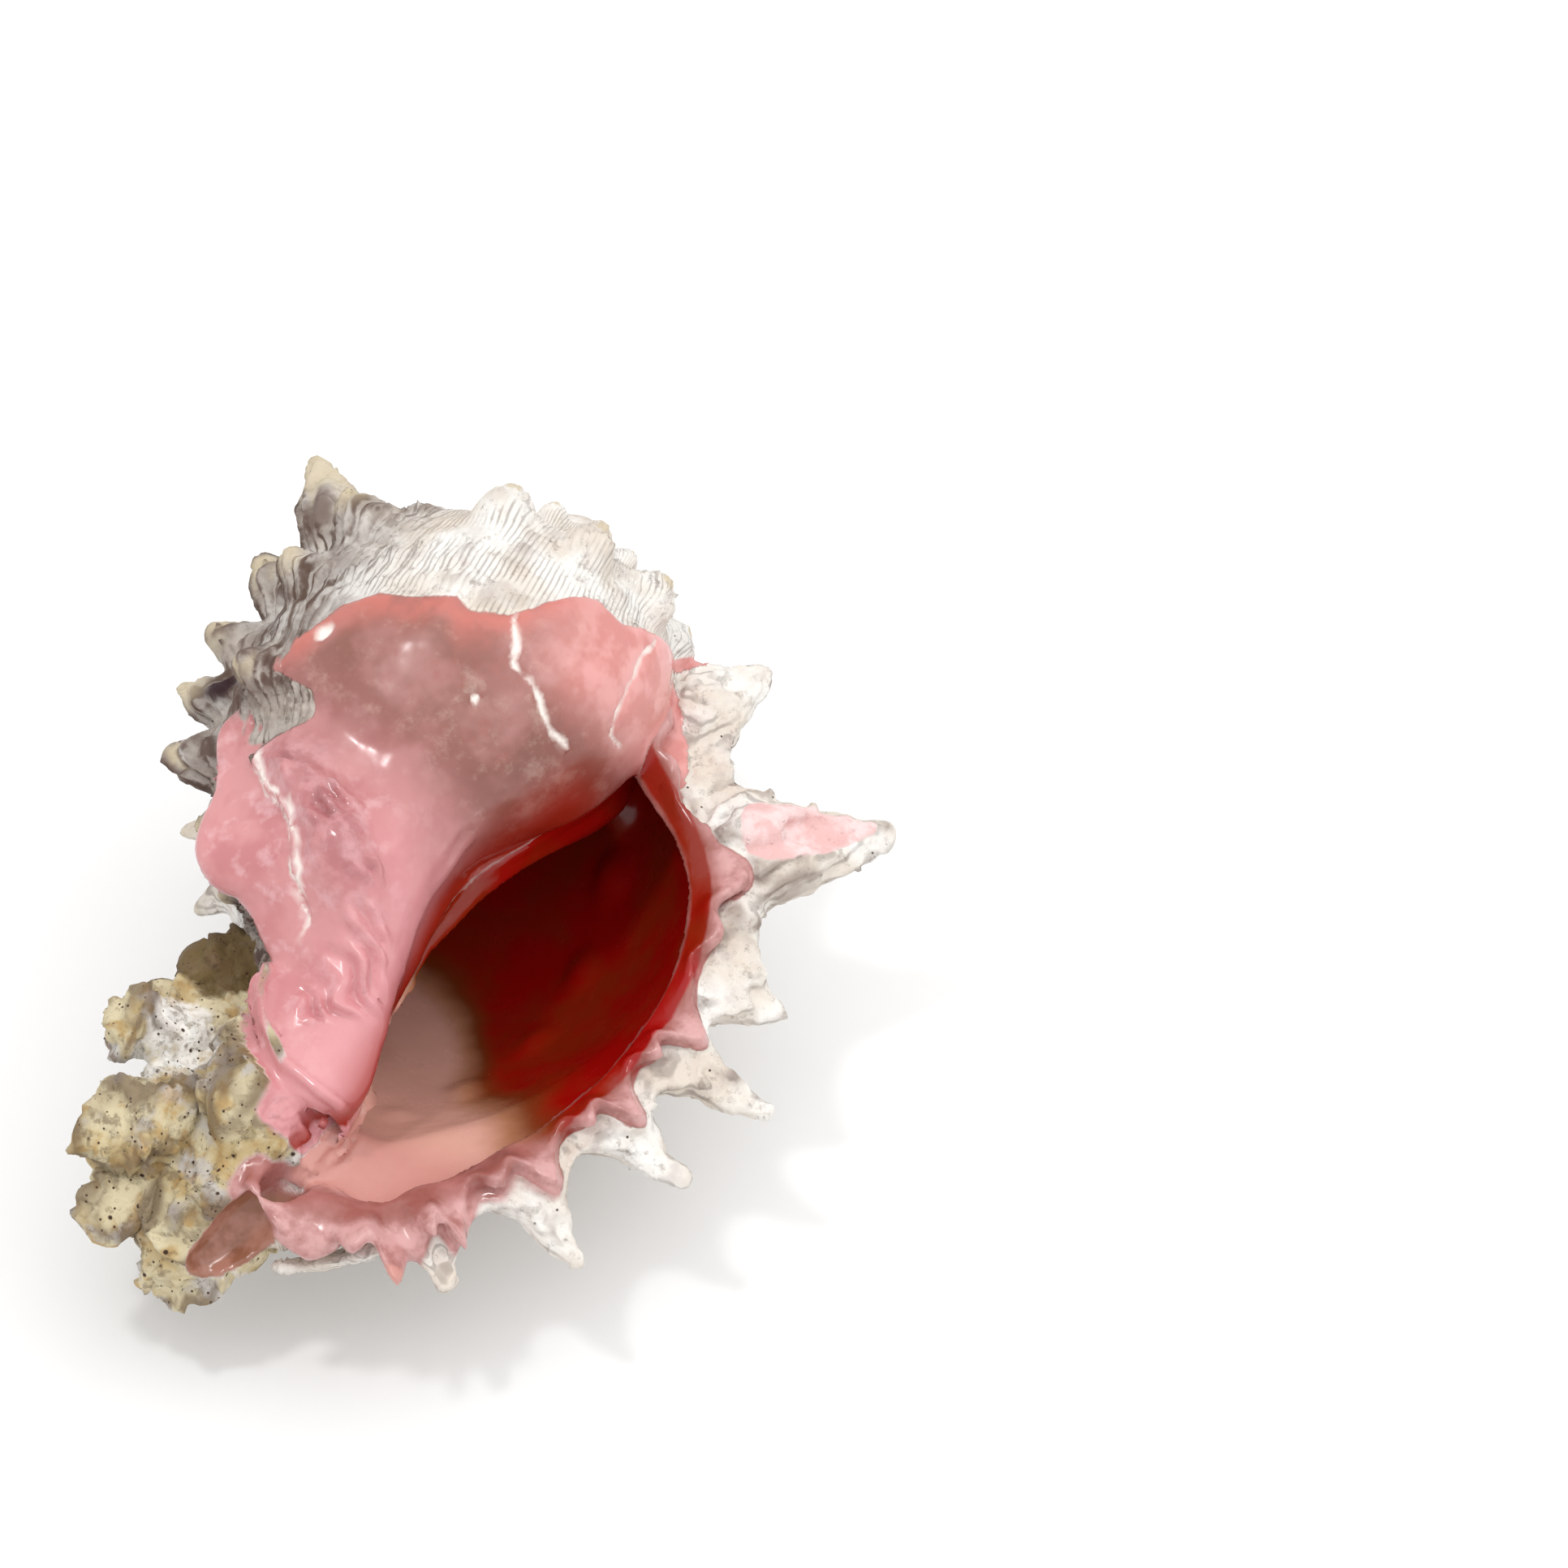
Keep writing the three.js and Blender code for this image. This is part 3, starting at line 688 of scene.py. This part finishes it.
def looks_at(p, parts):
    """Where each point is: shares from 0 to 1 of the parts that differ in relief and colour."""
    angle, place = wall_place(p)
    x, depth = p[:, 0], -p[:, 2]

    def on(name, reach=0.7):
        return 1 - smooth(sample(parts[name], p), 0.1, 0.1 + reach)

    def near(centre, ragged, inner, outer):
        return 1 - smooth(np.linalg.norm(p - centre, axis=1) + ragged, inner, outer)

    inside = np.maximum(on("hollow", 1.0), on("margin", 1.0) * smooth(depth, 24, 30))
    shield = on("shield") * smooth(-p[:, 1], 1, 3)
    trough = on("trough", 0.8) * smooth(depth, 93, 95.5)

    # the margin, from the line where it leaves the lip to its free edge, and wider at the skirt
    rim_side = np.maximum(on("margin", 1.0), on("margin", 3.0) * smooth(depth, 80, 88))
    plane = np.stack([np.hypot(x, p[:, 1]), p[:, 2]], -1) / scale_at(LIP)
    reach = path_distance(plane, lip_edge(np.linspace(0, 1, 60)))
    flared = np.maximum(smooth(reach, 0.4, 1.8), smooth(depth, 74, 86))
    margin = rim_side * flared * (1 - smooth(reach, 6.5, 8))

    # the canal's scaly block, which goes on behind the lobe of the shield as far as the pink corner
    under_lobe = depth - 72 - 1.3 * (x + 9)
    behind_lobe = smooth(under_lobe, -1, 0.5) * (1 - smooth(x, 2, 8)) * smooth(depth, 64, 70)
    corner = band(x, (-2, 1), (7, 10)) * band(depth, (81, 84), (90, 92)) * smooth(-p[:, 1], -3, 0)
    others = (1 - shield) * (1 - trough) * (1 - rim_side) * (1 - corner)
    canal = np.maximum(on("canal", 1.0), behind_lobe) * others
    callus = glazed(angle, place) * (1 - inside) * (1 - canal) * (1 - smooth(under_lobe, -1.5, 0.5))

    # painted shade where the callus turns in towards the hollow, far round and close to it
    far_hollow_shade = smooth(-angle, 295, 335) * smooth(place, 0.56, 0.72)
    near_hollow = 1 - smooth(sample(parts["hollow"], p), 0.2, 2.8)
    callus_top = np.interp(angle, *zip(*CALLUS_TOP))
    return {
        "angle": angle,
        "place": place,
        "inside": inside,
        "margin": margin,
        "canal": canal,
        "trough": trough,
        "glaze": np.maximum(callus, shield),
        "pink": np.max([callus, shield, corner * (1 - inside)], axis=0),
        "gloss": np.max([inside, shield, margin, trough, callus], axis=0),
        "tips": sample(parts["tips"], p) * on("spines", 1.5) * smooth(-angle, 110, 160),
        "deep": inside_depth(p),
        "hem": smooth(reach, 1.2, 2.8) * rim_side,
        "hollow_shade": np.maximum(far_hollow_shade, 0.8 * near_hollow * (1 - smooth(depth, 58, 70))),
        "blush": smooth(-angle, 262, 300) * (1 - smooth(place, 0.5, 0.64)),
        "border": (1 - smooth(place - callus_top, 0.01, 0.08)) * callus,
        "seam": white_marks(p, angle, place, callus),
        "salmon": smooth(depth - 0.25 * x, 44, 62),
        "bed_shade": shield_bed(p) * callus,
        "groove": on("groove", 1.2),
        "low": smooth(depth, 78, 88),
        "stain": band(angle, (-235, -205), (-165, -150)) * smooth(place, 0.12, 0.34),
        "spot": near(SPOT, 0.8 * noise(p, 1.8, 79), 1.4, 2.8),
        "bleached": 0.7 * near(WHITE_BLOCK, 0, 3, 9),
        "lobe_shade": near(SHADED_LOBE, 2 * noise(p, 3, 83), 4, 9),
    }


def crest_side(p):
    """How far each point is to the right of the crest of the shield."""
    x, z = np.array(SHIELD_CREST).T
    return p[:, 0] + 0.8 * noise(p, 3, 73) + 0.25 * noise(p, 0.9, 74) - np.interp(-p[:, 2], -z, x)


def shield_bed(p):
    """The sunken part of the shield, from 0 to 1: a step down at the crest, then a slow rise to the right."""
    u = crest_side(p)
    bed = (0.45 * smooth(u, -0.3, 0.5) + 0.55 * smooth(u, 0.5, 4)) * (1 - smooth(u, 5, 12))
    return bed * band(-p[:, 2], (48, 55), (62, 72))


def shield_relief(p):
    """The sunken bed of the shield with short wrinkles across it, and the bead along the edge of its lobe."""
    u = crest_side(p)
    z = p[:, 2]
    wrinkled = band(u, (1.5, 4), (8, 12)) * band(-z, (51, 56), (76, 84))
    waves = np.sin(2.4 * (z + 0.5 * p[:, 0]) + 3.5 * noise(p, 3, 75))
    wrinkles = wrinkled * waves * smooth(noise(p, 2.6, 77), -0.4, 0.4)
    from_edge = path_distance(p[:, [0, 2]], LOBE_EDGE)
    bead = (1 - smooth(from_edge, 0.6, 1.2)) - 0.8 * (1 - smooth(np.abs(from_edge - 1.7), 0.3, 0.8))
    return 0.3 * noise(p, 6, 65) - 2.8 * shield_bed(p) + 0.9 * wrinkles + 0.6 * bead


def chalk_relief(p, looks):
    """Lumps, cords along the whorl and growth lines across it, all as large as the whorl they are on."""
    cords = np.abs(np.sin(math.pi * (17 * looks["place"] + 0.25 * noise(p, 8, 5))))
    lines = np.sin(np.radians(looks["angle"] * 140) + 4 * noise(p, 5, 3)) * smooth(noise(p, 9, 7), -0.5, 0.2)
    lumps = 0.9 * rough(p, 7, 11) + 0.9 * rough(p, 2.6, 21)
    lift = lumps + 0.25 * (0.6 - cords) + mix(0.25, 0.45, looks["stain"]) * lines
    lift = lift * scale_at(looks["angle"]) * mix(1, 1.15, looks["stain"])
    return lift - 0.7 * pits(p, 3.2, 0.6, 0.25, 31) - 0.4 * pits(p, 1.8, 0.4, 0.35, 33)


def canal_relief(p):
    """Scales, lumps drawn out along the canal with crevices between them, and pores."""
    bark = p * (1, 1, 0.45)
    scales = np.mod(0.18 * p[:, 0] + 0.22 * p[:, 2] + 1.6 * noise(p, 6, 41) + 0.5 * noise(p, 2.2, 42), 1)
    crevices = 1 - smooth(np.abs(noise(bark, 5, 49)), 0, 0.3)
    lumps = 1.5 * rough(p, 6, 43) + 0.8 * rough(bark, 2.2, 47) - 1.6 * crevices
    pores = 0.6 * pits(p, 2.2, 0.5, 0.4, 51) + 0.5 * pits(p, 1.5, 0.35, 0.5, 53)
    return lumps + 0.9 * scales - 0.5 - pores


def relief(p, looks):
    """How far each point of the surface stands out, in millimetres."""
    canal = looks["canal"]
    lift = (1 - looks["gloss"]) * (1 - canal) * chalk_relief(p, looks)
    lift += canal * canal_relief(p)
    lift += looks["pink"] * (0.5 * noise(p, 9, 61) + 0.08 * noise(p, 2, 63))
    lift += looks["glaze"] * shield_relief(p)
    return lift + 0.35 * looks["seam"]


def set_points(mesh, points):
    mesh.vertices.foreach_set("co", points.astype(np.float32).ravel())
    mesh.update()


def thinned(mesh):
    """The mesh with its triangles brought down to the budget."""
    triangles = sum(len(p.vertices) - 2 for p in mesh.polygons)
    if triangles <= TRIANGLES:
        return mesh
    piece = bpy.data.objects.new("thinning", mesh)
    bpy.context.scene.collection.objects.link(piece)
    modifier = piece.modifiers.new("thin", "DECIMATE")
    modifier.ratio = TRIANGLES / triangles
    result = bpy.data.meshes.new_from_object(piece.evaluated_get(bpy.context.evaluated_depsgraph_get()))
    bpy.data.objects.remove(piece)
    return result


# ---- materials ----
def colour(code):
    """A linear colour from its sRGB hexadecimal code."""
    parts = [int(code[i : i + 2], 16) / 255 for i in (0, 2, 4)]
    return tuple(c / 12.92 if c <= 0.04045 else ((c + 0.055) / 1.055) ** 2.4 for c in parts) + (1.0,)


class Graph:
    """Short ways to add shader nodes to a material. Each way returns the new node's output."""

    def __init__(self, name):
        self.material = bpy.data.materials.new(name)
        self.material.use_nodes = True
        self.tree = self.material.node_tree
        self.shader = self.tree.nodes["Principled BSDF"]

    def node(self, kind, inputs, output=0, **settings):
        made = self.tree.nodes.new("ShaderNode" + kind)
        for name, value in settings.items():
            setattr(made, name, value)
        for name, value in inputs.items():
            self.set(made.inputs[name], value)
        return made.outputs[output]

    def set(self, socket, value):
        if isinstance(value, bpy.types.NodeSocket):
            self.tree.links.new(value, socket)
        else:
            socket.default_value = value

    def attribute(self, name, output="Fac"):
        return self.node("Attribute", {}, output, attribute_name=name)

    def math(self, operation, a, b=0.0):
        return self.node("Math", {0: a, 1: b}, operation=operation)

    def times(self, a, b):
        return self.math("MULTIPLY", a, b)

    def ramp(self, value, low, high, start=0.0, end=1.0):
        inputs = {"Value": value, "From Min": low, "From Max": high, "To Min": start, "To Max": end}
        return self.node("MapRange", inputs, interpolation_type="SMOOTHSTEP")

    def mix(self, share, a, b):
        colours = [colour(c) if isinstance(c, str) else c for c in (a, b)]
        return self.node("Mix", {0: share, 6: colours[0], 7: colours[1]}, 2, data_type="RGBA")

    def blend(self, share, a, b):
        return self.node("Mix", {0: share, 2: a, 3: b}, 0, data_type="FLOAT")

    def noise(self, size, detail=3.0, roughness=0.6):
        """Noise with lumps about size millimetres across."""
        place = self.attribute("place", "Vector")
        inputs = {"Vector": place, "Scale": 1 / size, "Detail": detail, "Roughness": roughness}
        return self.node("TexNoise", inputs)

    def patches(self, base, paint, size, low, high, most=1.0, detail=3.0, roughness=0.6):
        """Paint over the base in patches about size millimetres across, where noise goes from low to high."""
        return self.mix(self.ramp(self.noise(size, detail, roughness), low, high, 0.0, most), base, paint)

    def dots(self, size, radius):
        """Round spots, one to each cell of size millimetres: 1 at their middles."""
        place = self.attribute("place", "Vector")
        distance = self.node("TexVoronoi", {"Vector": place, "Scale": 1 / size}, "Distance")
        return self.ramp(distance, radius / size, 0.5 * radius / size)

    def masked(self, name, edge=0.25, size=3.0):
        """A share from 0 to 1 read from the mesh, with its edge made ragged by noise."""
        ragged = self.times(self.math("SUBTRACT", self.noise(size), 0.5), edge * 2)
        value = self.math("ADD", self.attribute(name), ragged)
        return self.ramp(value, 0.3, 0.7)


def growth_lines(g):
    """Growth lines: waves in the growth angle, worked out around the axis of the shell."""
    place = g.attribute("place", "Vector")
    split = g.node("SeparateXYZ", {0: place}).node
    azimuth = g.math("ARCTAN2", split.outputs[1], split.outputs[0])
    wander = g.times(g.noise(5.0, 2.0), 5.0)
    return g.ramp(g.math("SINE", g.math("ADD", g.times(azimuth, LINES_A_RADIAN), wander)), 0.0, 1.0)


def chalk_colour(g):
    """Off-white chalk, grey on its growth lines, stained brown left of the mouth, painted shade in its
    hollows.
    """
    base = g.patches("f4f1ec", "e2d7ca", 9.0, 0.35, 0.65)
    base = g.patches(base, "bcaeaa", 4.0, 0.55, 0.7, most=0.4)
    # painted shade: darker grey where the relief is low, in the hollows
    base = g.mix(g.ramp(g.attribute("relief"), 0.0, -0.9, 0.0, 0.75), base, "988579")
    base = g.patches(base, "8d7d73", 2.0, 0.46, 0.32, most=0.6, detail=6.0, roughness=0.75)
    stain = g.attribute("stain")
    base = g.mix(g.times(stain, g.ramp(g.noise(6.0), 0.3, 0.7, 0.35, 0.8)), base, "85766c")
    lines = g.times(growth_lines(g), g.ramp(g.noise(7.0), 0.38, 0.58))
    base = g.mix(g.times(lines, g.ramp(stain, 0.0, 1.0, 0.45, 1.0)), base, "5d493d")
    # painted shade: darker brown in the hollows on the stained side
    hollows = g.ramp(g.math("ADD", g.attribute("relief"), g.times(g.noise(1.6), 0.8)), 0.6, -0.1)
    base = g.mix(g.times(g.times(hollows, stain), 0.85), base, "5a4238")
    base = g.mix(g.attribute("spot"), base, "2c0812")
    base = g.mix(g.ramp(g.attribute("tips"), 0.4, 0.9, 0.0, 0.8), base, "d3c4a6")
    return g.mix(g.times(g.dots(2.6, 0.2), g.ramp(g.noise(6.0), 0.5, 0.56)), base, "4a3a33")


def canal_colour(g):
    """Straw-coloured scales, grey and rusty patches, a bleached block, pores, brown painted shade in
    crevices.
    """
    base = g.patches("d8cba8", "c4ae80", 6.0, 0.42, 0.58)
    base = g.patches(base, "cbc5bf", 8.0, 0.5, 0.6)
    base = g.patches(base, "b78f52", 3.0, 0.52, 0.66, most=0.55)
    base = g.mix(g.masked("bleached", 0.9, 4.0), base, "f8f5ef")
    # painted shade: the old canal lobe that lies behind, darkened brown
    base = g.mix(g.masked("lobe_shade", 0.4), base, "6e5a34")
    # painted shade: darker brown where the relief is low, in the crevices
    base = g.mix(g.ramp(g.attribute("relief"), 0.1, -1.5, 0.0, 0.75), base, "6a5238")
    base = g.patches(base, "75624a", 1.6, 0.48, 0.36, most=0.6, detail=5.0, roughness=0.7)
    base = g.mix(g.dots(1.1, 0.2), base, "4a3022")
    return g.mix(g.dots(2.3, 0.36), base, "3a2014")


def pink_colour(g):
    """Callus and shield: red top border, brown-grey middle partly a painted dark reflection, salmon down the
    shield.
    """
    # the callus's own brown-grey, partly darkened as a painted dark reflection on the glaze
    base = g.patches("a4706a", "8a5a50", 7.0, 0.4, 0.62)
    base = g.patches(base, "7f4d42", 11.0, 0.45, 0.6, most=0.5)
    base = g.patches(base, "b59588", 4.5, 0.5, 0.68, most=0.6, detail=6.0, roughness=0.7)
    base = g.patches(base, "9a5a50", 3.0, 0.5, 0.7, most=0.5, detail=6.0, roughness=0.7)
    base = g.mix(g.times(g.attribute("border"), g.ramp(g.noise(6.0), 0.35, 0.6, 0.3, 1.0)), base, "c26f64")
    base = g.mix(g.attribute("blush"), base, g.patches("e0a09c", "cf8680", 5.0, 0.4, 0.6))
    salmon = g.patches("c27c7e", "d08f90", 8.0, 0.4, 0.62)
    salmon = g.patches(salmon, "ecc4c8", 3.0, 0.5, 0.7, most=0.4)
    # painted light: the salmon lighter towards the right side of the shield
    across = g.node("SeparateXYZ", {0: g.attribute("place", "Vector")}, 0)
    salmon = g.mix(g.ramp(across, -7.0, 6.0, 0.0, 0.85), salmon, "d8969a")
    base = g.mix(g.attribute("salmon"), base, salmon)
    # painted shade in the sunken bed of the shield, over its own purple-grey tone
    base = g.mix(g.times(g.attribute("bed_shade"), 0.6), base, g.patches("9a5f62", "b98184", 2.0, 0.4, 0.6))
    # painted shade: dark red where the callus turns into the hollow
    return g.mix(g.attribute("hollow_shade"), base, "9c2a1a")


def inside_colour(g):
    """Pale at the mouth's edge, then orange-brown, then maroon deep inside, partly painted shade."""
    deep = g.math("ADD", g.attribute("deep"), g.times(g.math("SUBTRACT", g.noise(8.0), 0.5), 0.3))
    base = g.mix(g.ramp(g.attribute("low"), 0.0, 1.0), "dca898", "cc9086")
    # painted shade: darker the deeper in the mouth, over the shell's own orange-brown and red
    base = g.mix(g.ramp(deep, 0.05, 0.4), base, "b07a5c")
    base = g.mix(g.ramp(deep, 0.3, 0.62), base, "7a3a1a")
    return g.mix(g.ramp(deep, 0.5, 0.85), base, g.patches("9a0a06", "8a220a", 12.0, 0.4, 0.65))


def trough_colour(g):
    return g.patches("ad7a69", "915f48", 4.0, 0.4, 0.6)


def margin_colour(g):
    """Dusty red where it leaves the lip, and paler along its free edge."""
    base = g.patches("985a52", "aa6b66", 5.0, 0.4, 0.65)
    return g.mix(g.times(g.attribute("hem"), g.ramp(g.noise(2.5), 0.3, 0.6, 0.25, 0.8)), base, "d9a9a7")


def surface_height(g, gloss):
    """The height for the bump: grain and pores on the chalk, and slow waves on the gloss."""
    grain = g.math("ADD", g.times(g.noise(1.2, 6.0, 0.75), 2.6), g.times(g.dots(1.2, 0.25), -1.2))
    return g.blend(gloss, grain, g.times(g.noise(3.0, 1.0), 0.8))


def shell_material():
    g = Graph("shell_surface")
    base = chalk_colour(g)
    base = g.mix(g.masked("canal"), base, canal_colour(g))
    gloss = g.masked("pink", 0.2, 2.5)
    base = g.mix(gloss, base, pink_colour(g))
    for name, made in (("inside", inside_colour), ("trough", trough_colour), ("margin", margin_colour)):
        share = g.masked(name, 0.1, 2.0)
        base = g.mix(share, base, made(g))
        gloss = g.math("MAXIMUM", gloss, share)
    base = g.mix(g.masked("groove", 0.6, 4.0), base, g.patches("f3d8d6", "e8bcb9", 4.0, 0.4, 0.6))
    base = g.mix(g.attribute("seam"), base, "f6ece4")
    g.set(g.shader.inputs["Base Color"], base)
    matt = g.ramp(g.noise(1.5), 0.3, 0.7, 0.62, 0.85)
    glossy = g.ramp(g.noise(5.0), 0.3, 0.7, 0.14, 0.3)
    g.set(g.shader.inputs["Roughness"], g.blend(gloss, matt, glossy))
    bump = g.node("Bump", {"Height": surface_height(g, gloss), "Strength": 0.6, "Distance": 0.25 * MM})
    g.set(g.shader.inputs["Normal"], bump)
    return g.material


# ---- the shell ----
def add_attributes(mesh, points, looks, lift):
    place = mesh.attributes.new("place", "FLOAT_VECTOR", "POINT")
    place.data.foreach_set("vector", points.astype(np.float32).ravel())
    values = {name: value for name, value in looks.items() if name not in RELIEF_ONLY}
    values["relief"] = lift
    for name, value in values.items():
        attribute = mesh.attributes.new(name, "FLOAT", "POINT")
        attribute.data.foreach_set("value", value.astype(np.float32))


def shell_mesh():
    body, parts = build_fields()
    mesh = mesh_of(body)
    points = points_of(mesh)
    points = points + normals_of(mesh) * relief(points, looks_at(points, parts))[:, None]
    set_points(mesh, points)
    mesh = thinned(mesh)
    points = points_of(mesh)
    looks = looks_at(points, parts)
    add_attributes(mesh, points, looks, relief(points, looks))
    return mesh


def posed(mesh):
    """Turns the mesh to its resting pose, in metres, and sets it where the CAD solid is."""
    pose = Matrix.Rotation(math.radians(BACK_LEAN), 4, "X")
    pose = pose @ Matrix.Rotation(math.radians(SIDE_LEAN), 4, "Z")
    pose = pose @ Matrix.Rotation(math.radians(AXIS_TURN), 4, "X")
    mesh.transform(Matrix.Scale(MM, 4) @ pose)
    points = points_of(mesh)
    low, high = Vector(points.min(0)), Vector(points.max(0))
    cad_low, cad_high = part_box("shell")
    shift = (cad_low + cad_high - low - high) / 2
    shift.z = cad_low.z - low.z
    mesh.transform(Matrix.Translation(shift))


def placed(name, data):
    made = bpy.data.objects.new(name, data)
    bpy.context.scene.collection.objects.link(made)
    return made


def add_shell():
    mesh = shell_mesh()
    posed(mesh)
    mesh.shade_smooth()
    mesh.materials.append(shell_material())
    shell = placed("shell_surface", mesh)
    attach(shell, "root")
    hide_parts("shell")


# ---- the floor, the light and the camera ----
def add_floor():
    bpy.ops.mesh.primitive_plane_add(size=FLOOR_SIZE)
    floor = bpy.context.object
    floor.name = "floor"
    paper = Graph("floor")
    paper.set(paper.shader.inputs["Base Color"], colour("f2f2f2"))
    paper.set(paper.shader.inputs["Roughness"], 0.8)
    floor.data.materials.append(paper.material)


def add_lamp(name, location, size, energy):
    lamp = bpy.data.lights.new(name, "AREA")
    lamp.size = size
    lamp.energy = energy
    made = placed(name, lamp)
    made.location = location
    made.rotation_euler = (AIM - made.location).to_track_quat("-Z", "Y").to_euler()


def add_light():
    world = bpy.data.worlds.new("studio")
    world.use_nodes = True
    sky = world.node_tree.nodes["Background"]
    sky.inputs["Color"].default_value = (1, 1, 1, 1)
    sky.inputs["Strength"].default_value = SKY
    bpy.context.scene.world = world
    bpy.context.scene.view_settings.view_transform = "Standard"
    for name, (location, size, energy) in LAMPS.items():
        add_lamp(name, location, size, energy)


def add_camera():
    camera = placed("camera", bpy.data.cameras.new("camera"))
    camera.location = CAMERA_PLACE
    camera.rotation_euler = (math.radians(CAMERA_TILT), 0, 0)
    camera.data.lens = CAMERA_LENS
    camera.data.clip_start = 0.01
    bpy.context.scene.camera = camera


add_shell()
add_floor()
add_light()
add_camera()
